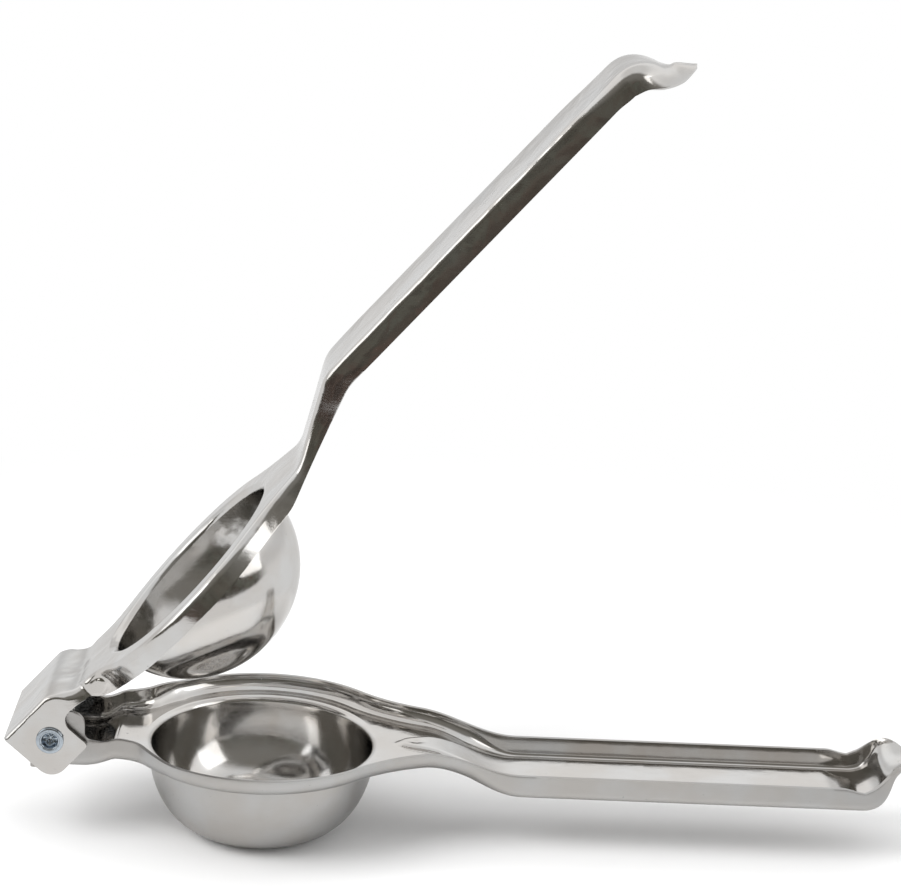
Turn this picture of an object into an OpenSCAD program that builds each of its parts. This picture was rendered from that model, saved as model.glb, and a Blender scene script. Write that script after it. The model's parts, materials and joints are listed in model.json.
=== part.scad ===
// Hinged citrus squeezer: two pressed steel arms turning on two short hollow rivets.
// Frame: origin at the centre of the bowl's flat base, +Z up, +X towards the handle tips.
// Each arm is drawn about the hinge axis (x = 0, z = 0) with its handle level, then put in place.

/* [Sheet] */
// Thickness of the steel sheet of both arms
sheet_t = 1.0; // [0.8:0.1:1.2]
// Width of the handle channel, outside
handle_w = 26; // [24:0.5:28]

/* [Pose] */
// Angle between the two handles as drawn
open_angle = 48.8; // [5:0.1:100]

/* [Hinge] */
// Distance from the hinge axis to the axis of the bowl
bowl_x = 51.2; // [49:0.1:54]
// Outside width over the upper arm's ears
ear_w = 32.8; // [31:0.2:35]
// Side gap between an upper ear and the lower ear inside it
ear_gap = 0.5; // [0.3:0.1:0.7]
// Height of the roof's top face above the hinge axis
roof_h = 8.3; // [8:0.1:9]
// Reach of the roof and the upper ears behind the hinge axis
roof_back = 7.6; // [7:0.1:8.5]
// Reach of the roof in front of the hinge axis
roof_front = 6.8; // [6:0.1:7.5]
// Depth of the upper ears below the hinge axis
ear_drop = 7.7; // [7:0.1:8.2]
// Reach of the upper ears in front of the hinge axis
ear_front = 5.3; // [5:0.1:5.8]
// Radius of the rear lower corner of the upper ears
ear_corner_r = 4.2; // [3:0.1:4.6]

/* [Rivets] */
// Diameter of the rivet shank
rivet_d = 5; // [4.5:0.1:5.5]
// Running clearance round the shank in the lower ears, on the radius
rivet_play = 0.06; // [0.03:0.01:0.09]
// Diameter of the rolled rim and of the inside head
rivet_rim_d = 6.8; // [6.4:0.1:7.4]
// Height of the rolled rim outside the ear
rivet_rim_h = 0.7; // [0.5:0.1:0.9]
// Thickness of the inside head
rivet_head_t = 0.6; // [0.5:0.1:0.8]
// Diameter of the hollow in the rivet
rivet_bore_d = 3.9; // [3.5:0.1:4]
// Depth of the hollow in the rivet
rivet_bore_h = 2.4; // [1.8:0.1:2.6]
// Gap between the inside head and the lower ear
head_gap = 0.12; // [0.05:0.01:0.2]

/* [Lower arm] */
// Outside radius of the upturned ring wall
ring_r = 35.2; // [34.9:0.1:37]
// Depth of the ledge's top face below the hinge axis
ledge_drop = 4.2; // [4:0.1:4.6]
// Depth of the ring wall's rim below the hinge axis
wall_drop = 0.5; // [0.3:0.1:0.8]
// Outside width at the waist between ears and ring
waist_w = 33; // [32.6:0.1:34]
// Plan radius where the waist meets the ring
waist_r = 9; // [6:0.5:12]
// Plan radius where the ring meets the neck
neck_r = 45; // [38:1:52]
// Distance from the hinge axis to the rear end of the level floor
floor_x = 15; // [14:0.1:16]
// Distance from the hinge axis to the rear edge of the dropped floor between the ears
pan_x = 1; // [0:0.5:4]
// Depth of the handle's underside below the hinge axis
low_drop = 12.4; // [11.5:0.1:13.5]
// Height of the handle's side walls, outside
low_wall = 6.2; // [5.5:0.1:7]
// Distance from the hinge axis to the end of the straight handle
low_end = 202.5; // [195:0.5:210]

/* [Bowl] */
// Inside radius of the bowl below its mouth
bowl_r = 27.4; // [27.3:0.1:27.8]
// Depth of the bowl, ledge top to underside of the base
bowl_d = 23; // [22:0.1:25]
// Radius of the bowl's flat base
base_r = 13; // [12.5:0.5:15]
// Inside radius of the rounded mouth
mouth_r = 1.6; // [1.3:0.1:2]
// Diameter of a strainer hole
hole_d = 3.2; // [2.5:0.1:3.4]
// Rings of strainer holes round the middle one
hole_rings = 2; // [1:1:2]
// Spacing of the rings of holes
hole_pitch = 4.8; // [4.4:0.1:5]

/* [Upper arm] */
// Side clearance between the upper ring and the lower ring wall
nest_gap = 0.9; // [0.7:0.1:1.1]
// Height of the ring web's top face above the hinge axis
web_h = 3.2; // [3:0.1:3.6]
// Depth of the ring flange's edge below the hinge axis
flange_drop = 1.9; // [1.5:0.1:2.1]
// Height of the handle's top face above the hinge axis
up_h = 14.2; // [13:0.1:15.5]
// Rise of the upper handle towards its tip
up_slope = 0.5; // [0:0.1:1]
// Height of the upper handle's side flanges
up_wall = 5.6; // [5:0.1:6.2]
// Distance from the hinge axis to the end of the straight handle
up_end = 209.5; // [200:0.5:215]

/* [Press cup] */
// Outside radius of the cup below its mouth
cup_r = 27.3; // [26.8:0.1:27.4]
// Depth of the cup, web top to the bottom's outside
cup_d = 27.4; // [26:0.1:27.6]

/* [Hidden] */
$fn = 96;
big = 500;

// Hinge
pivot_h = bowl_d + ledge_drop;        // hinge axis above the base
ear_y = ear_w / 2;                    // outside of an upper ear
low_ear_y = ear_y - sheet_t - ear_gap;  // outside of a lower ear
roof_gap = 0.3;                       // between the roof and the lower ears
low_ear_r = roof_h - sheet_t - roof_gap;  // top of a lower ear, about the axis
low_ear_back = 4.9;                   // its square rear corner, the stop at full opening
low_ear_drop = 7.9;
low_ear_front = 8.2;
low_ear_corner_r = 3.4;
low_ear_fillet_r = 1.8;
ear_front_r = 1;                      // front lower corner of an upper ear
ear_fillet_r = 3.2;                   // between that ear's front and the flange
ear_flange_z = 1.6;                   // flange edge between ear and ring
step_x = [floor_x + 0.7, floor_x + 4.2];  // where that edge steps down to the ring flange
ear_blend = [9, floor_x];             // where the ears run into the waist
roof_slope = [roof_front - 0.6, roof_front + 7.7];
web_lift = 0.8;                       // rise of the web at the foot of that slope
web_level = 2 * floor_x;              // from here on the web is flat

// Lower arm
pan_ramp = [floor_x - 7, floor_x];    // where the floor drops to the lower edge of the ears
floor_z = -ledge_drop;
low_z = -low_drop;
half_w = handle_w / 2;
ramp_low = [bowl_x + 40, bowl_x + 65];  // ramp from the neck to the handle
low_tip_r = 8;
low_tip_a = 70;
low_lip_r = 4;
low_lip_a = 12;
low_lip_l = 4;
rim_lift = 1.1;                       // rise of the wall's rim over the waist
lift_up = [floor_x - 4, floor_x + 2];
lift_down = [floor_x + 5, floor_x + 17];
rim_dip = 1;                          // dip of the rim before the tip
dip_x = [low_end - 6, low_end - 2];
lip_side = 1.2;                       // rim of the lip's sides below the handle's floor plus wall
lip_rise = [low_end - 1, low_end + 7];

// Upper arm
up_t = sheet_t + nest_gap;            // inset of its ring from the lower ring
ramp_web = [bowl_x + 35, bowl_x + 65];
ramp_flange = [bowl_x + 29, bowl_x + 64];
ramp_plan = [bowl_x + 49, bowl_x + 63];
up_tip_r = 9.5;
up_tip_a = 72;
up_lip_r = 6;
up_lip_a = 43;
up_lip_l = 6.1;

function mix(a, b, t) = a + (b - a) * t;
function ease(x, a, b) = x <= a ? 0 : x >= b ? 1 : (1 - cos(180 * (x - a) / (b - a))) / 2;
function steps(a, b, n) = [for (i = [0:n]) a + (b - a) * i / n];
function arc(c, r, a0, a1, n) = [for (a = steps(a0, a1, n)) [c[0] + r * cos(a), c[1] + r * sin(a)]];
function flip(pts) = [for (i = [len(pts) - 1:-1:0]) pts[i]];
function mirror_y(pts) = [for (p = flip(pts)) [p[0], -p[1]]];
function mirror_z(pts) = [for (p = pts) [p[0], -p[1]]];

// Half width of the ring plan, inset by d: waist, fillet, ring, fillet, neck
function plan_half(x, d) =
    let (r = ring_r - d, ya = waist_w / 2 - d, yb = half_w - d, ra = waist_r + d, rb = neck_r + d,
         xa = bowl_x - sqrt(pow(r + ra, 2) - pow(ya + ra, 2)),
         xb = bowl_x + sqrt(pow(r + rb, 2) - pow(yb + rb, 2)),
         ta = xa + (bowl_x - xa) * ra / (r + ra),
         tb = xb - (xb - bowl_x) * rb / (r + rb))
    x < xa ? ya
    : x < ta ? ya + ra - sqrt(ra * ra - pow(x - xa, 2))
    : x < tb ? sqrt(r * r - pow(x - bowl_x, 2))
    : x < xb ? yb + rb - sqrt(rb * rb - pow(x - xb, 2))
    : yb;

function low_half(x, d) =
    plan_half(x, d) - (waist_w / 2 - low_ear_y) * (1 - ease(x, ear_blend[0], ear_blend[1]));
function up_half(x, d) =
    plan_half(x, up_t + d)
    + (ear_y - waist_w / 2 + up_t) * (1 - ease(x, ear_blend[0], ear_blend[1]))
    + up_t * ease(x, ramp_plan[0], ramp_plan[1]);

// Tip of a handle: bend down, bend back, straight lip; s is the offset to the inside of the bend
function tip(x, z, r1, a1, r2, a2, l, s) =
    let (e = [x + r1 * sin(a1), z - r1 * (1 - cos(a1))],
         c = [e[0] + r2 * sin(a1), e[1] + r2 * cos(a1)],
         f = [c[0] - (r2 + s) * sin(a2), c[1] - (r2 + s) * cos(a2)])
    concat(arc([x, z - r1], r1 - s, 90, 90 - a1, 9), arc(c, r2 + s, 270 - a1, 270 - a2, 6),
           [[f[0] + l * cos(a2), f[1] - l * sin(a2)]]);

function low_tip(s) =
    mirror_z(tip(low_end, low_drop, low_tip_r, low_tip_a, low_lip_r, low_lip_a, low_lip_l, s));
function up_top(x) = up_h + (x - ramp_web[1]) * tan(up_slope);
function up_tip(s) =
    tip(up_end, up_top(up_end), up_tip_r, up_tip_a, up_lip_r, up_lip_a, up_lip_l, s);
function last(pts) = pts[len(pts) - 1];
low_nose = last(low_tip(0))[0];
up_nose = last(up_tip(0))[0];
lip_run = [up_end - 2.5, up_nose - 3.5];  // where the flange's edge falls to the lip
lip_fall = up_wall + 1.6;

// Plan of an arm as a closed outline with a rounded nose
module plan(kind, x0, nose, nose_l, d) {
    run = concat([x0], steps(ear_blend[0], web_level, 24), steps(web_level + 1.6, nose - nose_l, 100));
    side = [for (x = run) [x, kind == "low" ? low_half(x, d) : up_half(x, d)]];
    end = [for (a = steps(0, 90, 10))
               [nose - nose_l + (nose_l - d) * sin(a), (half_w - d) * cos(a)]];
    half = concat(side, end);
    polygon(concat(half, mirror_y(half)));
}

module plan_solid(kind, x0, nose, nose_l, d) {
    translate([0, 0, -big / 2]) linear_extrude(big) plan(kind, x0, nose, nose_l, d);
}

// Side outline made into a slab across the whole width
module slab(pts) {
    translate([0, big / 2, 0]) rotate([90, 0, 0]) linear_extrude(big) polygon(pts);
}

// Profiles of the lower arm
function low_floor(x) =
    mix(-low_ear_drop, floor_z - sheet_t, ease(x, pan_ramp[0], pan_ramp[1]))
    + (low_z - floor_z + sheet_t) * ease(x, ramp_low[0], ramp_low[1]);
function low_rim(x) =
    -wall_drop + rim_lift * ease(x, lift_up[0], lift_up[1]) * (1 - ease(x, lift_down[0], lift_down[1]))
    + (low_z + low_wall + wall_drop) * ease(x, ramp_low[0], ramp_low[1])
    - rim_dip * ease(x, dip_x[0], dip_x[1]) + (low_wall - lip_side) * ease(x, lip_rise[0], lip_rise[1]);

low_run = concat([pan_x], steps(pan_ramp[0], pan_ramp[1], 8), steps(ramp_low[0], ramp_low[1], 14));
low_under = concat([for (x = low_run) [x, low_floor(x)]], low_tip(0));
low_over = concat([for (x = low_run) [x, low_floor(x) + sheet_t]], low_tip(sheet_t));
low_rim_x = flip(concat(steps(lift_up[0], lift_down[1], 14), steps(ramp_low[0], ramp_low[1], 14),
                        steps(dip_x[0], lip_rise[1], 14)));
low_side = concat(
    [[-low_ear_back, -low_ear_drop]], low_under, flip([for (p = low_tip(sheet_t)) if (p[0] > lip_rise[1]) p]),
    [for (x = low_rim_x) [x, low_rim(x)]],
    arc([low_ear_front + low_ear_fillet_r, low_ear_fillet_r - wall_drop], low_ear_fillet_r, 270, 180, 6),
    arc([low_ear_front - low_ear_corner_r, low_ear_r - low_ear_corner_r], low_ear_corner_r, 0, 90, 7),
    arc([0, 0], low_ear_r, 90, 90 + asin(low_ear_back / low_ear_r), 6));

module strainer_holes() {
    for (k = [0:hole_rings], i = [0:max(6 * k, 1) - 1])
        rotate([0, 0, 60 / max(k, 1) * i + 15 * k])
            translate([hole_pitch * k, 0, -pivot_h - 1]) cylinder(d = hole_d, h = sheet_t + 2);
}

// Bowl drawn down from the ledge
module bowl() {
    z = floor_z - mouth_r;
    h = pivot_h + z;
    r = bowl_r + sheet_t;
    outer = concat([[r + 2, floor_z - sheet_t]],
                   arc([r + mouth_r - sheet_t, z], mouth_r - sheet_t, 90, 180, 4),
                   [for (a = steps(5, 90, 17)) [base_r + (r - base_r) * cos(a), z - h * sin(a)]]);
    inner = concat([[r + 2, floor_z]], arc([bowl_r + mouth_r, z], mouth_r, 90, 180, 6),
                   [for (a = steps(5, 90, 17))
                        [base_r + (bowl_r - base_r) * cos(a), z - (h - sheet_t) * sin(a)]]);
    rotate_extrude() polygon(concat(outer, [[0, -pivot_h], [0, sheet_t - pivot_h]], flip(inner)));
}

module lower_sheet() {
    nose_l = low_nose - low_end;
    difference() {
        intersection() {
            plan_solid("low", pan_x, low_nose, nose_l, 0);
            slab(concat(low_under, flip(low_over)));
        }
        translate([bowl_x, 0, -big / 2]) cylinder(r = bowl_r + mouth_r, h = big);
    }
    intersection() {
        difference() {
            plan_solid("low", -low_ear_back, low_nose, nose_l, 0);
            plan_solid("low", -low_ear_back - 1, low_nose, nose_l, sheet_t);
        }
        slab(low_side);
    }
}

module lower_arm() {
    color("lightgray") translate([-bowl_x, 0, pivot_h]) difference() {
        union() {
            lower_sheet();
            translate([bowl_x, 0, 0]) bowl();
        }
        translate([bowl_x, 0, 0]) strainer_holes();
        rotate([90, 0, 0]) cylinder(d = rivet_d + 2 * rivet_play, h = ear_w, center = true);
    }
}

// Profiles of the upper arm
function up_web(x) =
    mix(roof_h, web_h + web_lift, ease(x, roof_slope[0], roof_slope[1]))
    - web_lift * ease(x, roof_slope[1], web_level)
    + (up_h - web_h) * ease(x, ramp_web[0], ramp_web[1]) + max(0, x - ramp_web[1]) * tan(up_slope);
function up_edge(x) =
    mix(ear_flange_z, -flange_drop, ease(x, step_x[0], step_x[1]))
    + (up_h - up_wall + flange_drop) * ease(x, ramp_flange[0], ramp_flange[1])
    + max(0, x - ramp_web[1]) * tan(up_slope)
    - lip_fall * ease(x, lip_run[0], lip_run[1]) - max(0, x - lip_run[1]) * tan(up_lip_a) / 2;

up_run = concat([-roof_back], steps(roof_slope[0], roof_slope[1], 8),
                steps(roof_slope[1] + 2, web_level, 4), steps(ramp_web[0], ramp_web[1], 14));
up_over = concat([for (x = up_run) [x, up_web(x)]], up_tip(0));
up_under = concat([for (x = up_run) [x, up_web(x) - sheet_t]], up_tip(sheet_t));
up_edge_x = concat(steps(step_x[0], step_x[1], 6), steps(ramp_flange[0], ramp_web[1], 16),
                   steps(lip_run[0], up_nose - sheet_t / 2, 12));
up_side = concat(
    up_over,
    flip([for (x = up_edge_x) [x, up_edge(x)]]),
    arc([ear_front + ear_fillet_r, ear_flange_z - ear_fillet_r], ear_fillet_r, 90, 180, 6),
    arc([ear_front - ear_front_r, ear_front_r - ear_drop], ear_front_r, 0, -90, 4),
    arc([ear_corner_r - roof_back, ear_corner_r - ear_drop], ear_corner_r, 270, 180, 8));

// Press cup drawn down from the ring web
module press_cup() {
    z = web_h - mouth_r;
    h = cup_d - mouth_r;
    r = cup_r - sheet_t;
    outer = concat([[cup_r + 2, web_h - sheet_t]],
                   arc([r + mouth_r, z], mouth_r - sheet_t, 90, 180, 4),
                   [for (a = steps(5, 90, 17)) [cup_r * cos(a), z - h * sin(a)]]);
    inner = concat([[cup_r + 2, web_h]], arc([r + mouth_r, z], mouth_r, 90, 180, 6),
                   [for (a = steps(5, 90, 17)) [r * cos(a), z - (h - sheet_t) * sin(a)]]);
    rotate_extrude() polygon(concat(outer, flip(inner)));
}

module upper_sheet() {
    nose_l = up_nose - up_end;
    difference() {
        intersection() {
            plan_solid("up", -roof_back, up_nose, nose_l, 0);
            slab(concat(up_over, flip(up_under)));
        }
        translate([bowl_x, 0, -big / 2]) cylinder(r = cup_r - sheet_t + mouth_r, h = big);
    }
    intersection() {
        difference() {
            plan_solid("up", -roof_back, up_nose, nose_l, 0);
            plan_solid("up", -roof_back - 1, up_nose, nose_l, sheet_t);
        }
        slab(up_side);
    }
}

// Places what turns with the upper arm
module opened() {
    translate([-bowl_x, 0, pivot_h]) rotate([0, -open_angle, 0]) children();
}

module upper_arm() {
    color("silver") opened() difference() {
        union() {
            upper_sheet();
            translate([bowl_x, 0, 0]) press_cup();
        }
        rotate([90, 0, 0]) cylinder(d = rivet_d, h = ear_w + 2, center = true);
    }
}

// Hollow rivet: rolled rim outside the upper ear, flat head inside the lower ear
module rivet() {
    inside = low_ear_y - sheet_t - head_gap;
    r = rivet_d / 2;
    rim = rivet_rim_d / 2;
    bore = rivet_bore_d / 2;
    top = ear_y + rivet_rim_h;
    lip = rivet_rim_h / 2;
    drill = bore / 6;                 // shallow cone at the bottom of the hollow
    rotate_extrude() polygon(concat(
        [[0, inside - rivet_head_t], [rim, inside - rivet_head_t], [rim, inside], [r, inside], [r, ear_y],
         [rim - lip, ear_y]],
        arc([rim - lip, ear_y + lip], lip, -90, 90, 8),
        arc([bore + lip, ear_y + lip], lip, 90, 180, 5),
        [[bore, top - rivet_bore_h + drill], [0, top - rivet_bore_h]]));
}

module rivet_near() {
    color("slategray") opened() rotate([90, 0, 0]) rivet();
}

module rivet_far() {
    color("slategray") opened() rotate([-90, 0, 0]) rivet();
}

lower_arm();
upper_arm();
rivet_near();
rivet_far();
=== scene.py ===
"""Hinged citrus squeezer of pressed steel: two stamped arms, hinge rivets, pale floor, lamps and camera."""
import json
import math

import bmesh
import bpy
from mathutils import Matrix, Vector


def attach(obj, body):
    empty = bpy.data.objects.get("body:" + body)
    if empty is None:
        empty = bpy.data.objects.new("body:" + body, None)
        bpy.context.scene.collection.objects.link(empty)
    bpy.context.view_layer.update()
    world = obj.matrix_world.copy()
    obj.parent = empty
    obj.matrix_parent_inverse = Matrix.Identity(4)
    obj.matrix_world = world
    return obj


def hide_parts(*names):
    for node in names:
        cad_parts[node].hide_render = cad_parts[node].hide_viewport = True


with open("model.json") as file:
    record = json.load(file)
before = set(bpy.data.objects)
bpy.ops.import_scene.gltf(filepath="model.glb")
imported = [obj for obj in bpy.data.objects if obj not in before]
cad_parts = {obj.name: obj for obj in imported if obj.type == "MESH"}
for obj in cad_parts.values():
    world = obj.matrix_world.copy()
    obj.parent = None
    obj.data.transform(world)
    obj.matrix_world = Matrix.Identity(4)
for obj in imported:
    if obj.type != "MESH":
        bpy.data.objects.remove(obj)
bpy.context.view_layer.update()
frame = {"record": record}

bl_info = {
    "name": "Citrus Squeezer",
    "version": (1, 0, 0),
    "blender": (4, 5, 0),
    "location": "3D View > Sidebar > Squeezer",
    "description": "Builds the pressed-steel arms, the rivets and the stage of a hinged citrus squeezer",
    "category": "Object",
}

MM = 0.001
HINGE = Vector(frame["record"]["behaviour"]["joints"][0]["pos_m"])

# ---------------------------------------------------------------- sizes and colours


class SheetSizes(bpy.types.PropertyGroup):
    """The steel sheet of both arms and how it is bent."""
    thickness: bpy.props.FloatProperty(
        name="Sheet", description="Thickness of the steel sheet", default=1.0 * MM, unit="LENGTH", precision=4)
    edge: bpy.props.FloatProperty(
        name="Edge", description="Rounding of the cut edges", default=0.16 * MM, unit="LENGTH", precision=5)
    open_angle: bpy.props.FloatProperty(
        name="Opening", description="Angle between the handles at rest", default=math.radians(48.8), subtype="ANGLE")
    ring_bend: bpy.props.FloatProperty(
        name="Ring bend", description="Outside bend of the lower arm's wall round the bowl",
        default=5.3 * MM, unit="LENGTH", precision=4)
    handle_bend: bpy.props.FloatProperty(
        name="Handle bend", description="Outside bend along the lower handle", default=2.0 * MM, unit="LENGTH",
        precision=4)
    upper_bend: bpy.props.FloatProperty(
        name="Upper bend", description="Outside bend of the upper arm's flanges", default=1.4 * MM, unit="LENGTH",
        precision=4)
    rib: bpy.props.FloatProperty(
        name="Rib", description="Height of the stiffening rib pressed into the lower channel", default=1.9 * MM,
        unit="LENGTH", precision=4)
    stop: bpy.props.FloatProperty(
        name="Stop", description="Height of the round stop above the upper flange", default=0.75 * MM,
        unit="LENGTH", precision=4)


class StrainerSizes(bpy.types.PropertyGroup):
    """The round holes in the bowl's base."""
    hole: bpy.props.FloatProperty(
        name="Hole", description="Diameter of a strainer hole", default=3.2 * MM, unit="LENGTH", precision=4)
    pitch: bpy.props.FloatProperty(
        name="Pitch", description="Distance between the rings of holes", default=4.8 * MM, unit="LENGTH",
        precision=4)


class RivetSizes(bpy.types.PropertyGroup):
    """The hollow rivets of the hinge."""
    rim: bpy.props.FloatProperty(
        name="Rim", description="Diameter of the rolled rim", default=6.8 * MM, unit="LENGTH", precision=4)
    bore: bpy.props.FloatProperty(
        name="Bore", description="Diameter of the hollow", default=3.9 * MM, unit="LENGTH", precision=4)


class Finish(bpy.types.PropertyGroup):
    """Colours and polish of the metals."""
    steel: bpy.props.FloatVectorProperty(
        name="Steel", description="Colour of the stainless steel", default=(0.60, 0.596, 0.588), subtype="COLOR",
        min=0, max=1)
    zinc: bpy.props.FloatVectorProperty(
        name="Rivets", description="Colour of the zinc plating", default=(0.46, 0.51, 0.56), subtype="COLOR",
        min=0, max=1)
    satin: bpy.props.FloatProperty(
        name="Satin", description="Roughness of the satin faces", default=0.36, subtype="FACTOR", min=0, max=1)
    polish: bpy.props.FloatProperty(
        name="Polish", description="Roughness of the polished faces", default=0.12, subtype="FACTOR", min=0, max=1)


class StageLook(bpy.types.PropertyGroup):
    """The floor, its light and the background."""
    floor: bpy.props.FloatVectorProperty(
        name="Floor", description="Colour of the floor", default=(0.93, 0.93, 0.93), subtype="COLOR", min=0, max=1)
    dark: bpy.props.FloatVectorProperty(
        name="Room", description="Colour of the dark room in front of the table", default=(0.045, 0.038, 0.034),
        subtype="COLOR", min=0, max=1)
    key: bpy.props.FloatProperty(
        name="Upper lamps", description="Power of the lamp at the upper left; the wide one overhead has half of it",
        default=9.5, unit="POWER")
    fill: bpy.props.FloatProperty(
        name="Side lamps", description="Power of each lamp at the sides", default=1.5, unit="POWER")


GROUPS = {
    "sheet": SheetSizes,
    "strainer": StrainerSizes,
    "rivet": RivetSizes,
    "finish": Finish,
    "stage": StageLook,
}

# ---------------------------------------------------------------- drawing helpers, in millimetres


def mix(a, b, t):
    return a + (b - a) * t


def ease(x, a, b):
    t = min(max((x - a) / (b - a), 0.0), 1.0)
    return (1 - math.cos(math.pi * t)) / 2


def ramp(x, a, b, r):
    """0 to 1 along a straight slope from a to b, with both corners rounded over r on each side."""
    soft = lambda u: 0.0 if u < -r else u if u > r else (u + r) ** 2 / (4 * r)
    return (soft(x - a) - soft(x - b)) / (b - a)


def steps(a, b, n):
    """n + 1 even steps from a to b."""
    return [a + (b - a) * i / n for i in range(n + 1)]


def along(x, table):
    """Value at x of a line through (x, value) pairs."""
    for (x0, v0), (x1, v1) in zip(table, table[1:]):
        if x <= x1:
            return v0 + (v1 - v0) * max(x - x0, 0) / (x1 - x0)
    return table[-1][1]


def curve(x, table):
    """Like along, but rounded at the given points."""
    for i in range(len(table) - 1):
        if x <= table[i + 1][0]:
            break
    (x0, v0), (x1, v1) = table[i], table[i + 1]
    before = table[i - 1] if i else table[i]
    after = table[i + 2] if i + 2 < len(table) else table[i + 1]
    m0 = (v1 - before[1]) / (x1 - before[0]) * (x1 - x0)
    m1 = (after[1] - v0) / (after[0] - x0) * (x1 - x0)
    t = min(max((x - x0) / (x1 - x0), 0.0), 1.0)
    return ((2 * t ** 3 - 3 * t * t + 1) * v0 + (t ** 3 - 2 * t * t + t) * m0
            + (3 * t * t - 2 * t ** 3) * v1 + (t ** 3 - t * t) * m1)


def arc(cx, cy, r, a0, a1, n):
    return [(cx + r * math.cos(math.radians(a)), cy + r * math.sin(math.radians(a))) for a in steps(a0, a1, n)]


BOWL_X = 51.2


class Outline:
    """Half of an arm's plan: waist, ring and neck joined by tangent arcs, with the outward normal."""

    def __init__(self, ring, waist, handle, fillet, neck):
        self.ring, self.waist, self.handle, self.fillet, self.neck = ring, waist, handle, fillet, neck
        self.xa = BOWL_X - math.sqrt((ring + fillet) ** 2 - (waist + fillet) ** 2)
        self.xb = BOWL_X + math.sqrt((ring + neck) ** 2 - (handle + neck) ** 2)
        self.ta = self.xa + (BOWL_X - self.xa) * fillet / (ring + fillet)
        self.tb = self.xb - (self.xb - BOWL_X) * neck / (ring + neck)

    def at(self, x):
        if x <= self.xa:
            return self.waist, (0.0, 1.0)
        if x < self.ta:
            c = (self.xa, self.waist + self.fillet)
            y = c[1] - math.sqrt(self.fillet ** 2 - (x - c[0]) ** 2)
            return y, ((c[0] - x) / self.fillet, (c[1] - y) / self.fillet)
        if x < self.tb:
            y = math.sqrt(self.ring ** 2 - (x - BOWL_X) ** 2)
            return y, ((x - BOWL_X) / self.ring, y / self.ring)
        if x < self.xb:
            c = (self.xb, self.handle + self.neck)
            y = c[1] - math.sqrt(self.neck ** 2 - (x - c[0]) ** 2)
            return y, ((c[0] - x) / self.neck, (c[1] - y) / self.neck)
        return self.handle, (0.0, 1.0)


def inner_end(x, mouth, table):
    """Where the line across the sheet from the outline at x ends: on the centre line or on the mouth's circle."""
    s = along(x, table)
    rear = BOWL_X - mouth
    if s < -1e-9:
        return rear + s, 0.0, None
    half = math.pi * mouth
    if s < half - 1e-9:
        a = math.pi - s / mouth
        return BOWL_X + mouth * math.cos(a), mouth * math.sin(a), a
    return BOWL_X + mouth + s - half, 0.0, 0.0 if s < half + 1e-9 else None


class Shell:
    """Collects the outside faces of one half of an arm, then mirrors them."""

    def __init__(self):
        self.points, self.faces = [], []

    def grid(self, columns, flip):
        start = []
        for column in columns:
            start.append(len(self.points))
            self.points += column
        for c in range(len(columns) - 1):
            for r in range(len(columns[0]) - 1):
                quad = (start[c] + r, start[c] + r + 1, start[c + 1] + r + 1, start[c + 1] + r)
                self.faces.append(quad[::-1] if flip else quad)

    def plate(self, outline, hole, y, flip):
        """Flat plate across Y with a round hole at the hinge axis."""
        bm = bmesh.new()
        loops = [outline, arc(0, 0, hole, 0, 360 - 360 / 48, 47)]
        edges = []
        for loop in loops:
            verts = [bm.verts.new((x, y, z)) for x, z in loop]
            edges += [bm.edges.new((a, b)) for a, b in zip(verts, verts[1:] + verts[:1])]
        bmesh.ops.triangle_fill(bm, edges=edges, use_beauty=True, normal=(0, 1, 0))
        bm.verts.index_update()
        base = len(self.points)
        self.points += [tuple(v.co) for v in bm.verts]
        for f in bm.faces:
            f.normal_update()
            order = [base + v.index for v in f.verts]
            self.faces.append(order if (f.normal.y > 0) != flip else order[::-1])
        bm.free()

    def mesh(self, name, place, extra=()):
        """Both halves as one mesh in metres, with further (points, faces) joined on."""
        points = self.points + [(x, -y, z) for x, y, z in self.points]
        n = len(self.points)
        faces = self.faces + [tuple(i + n for i in reversed(f)) for f in self.faces]
        for more, polygons in extra:
            base = len(points)
            points += more
            faces += [tuple(i + base for i in f) for f in polygons]
        mesh = bpy.data.meshes.new(name)
        mesh.from_pydata([place @ (Vector(p) * MM) for p in points], [], faces)
        bm = bmesh.new()
        bm.from_mesh(mesh)
        bmesh.ops.remove_doubles(bm, verts=bm.verts, dist=0.004 * MM)
        bmesh.ops.dissolve_degenerate(bm, edges=bm.edges, dist=0.001 * MM)
        bm.to_mesh(mesh)
        bm.free()
        return mesh


def section(width, bend, height, n):
    """Half of a channel section from the middle to the rim, as fractions of its width and height."""
    nf, nb, nw = n
    flat = [(y, 0.0) for y in steps(0, width - bend, nf)]
    turn = [(width - bend + bend * math.sin(a), bend * (1 - math.cos(a))) for a in steps(0, math.pi / 2, nb)[1:]]
    wall = [(width, z) for z in steps(bend, height, nw)[1:]]
    return [(y / width, z / height) for y, z in flat + turn + wall]


def path(points):
    """Points on a polyline with the length up to each."""
    out, s = [(0.0, points[0])], 0.0
    for a, b in zip(points, points[1:]):
        s += math.dist(a, b)
        out.append((s, b))
    return out


def on_path(p, s):
    return tuple(along(s, [(l, q[k]) for l, q in p]) for k in (0, 1))


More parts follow.
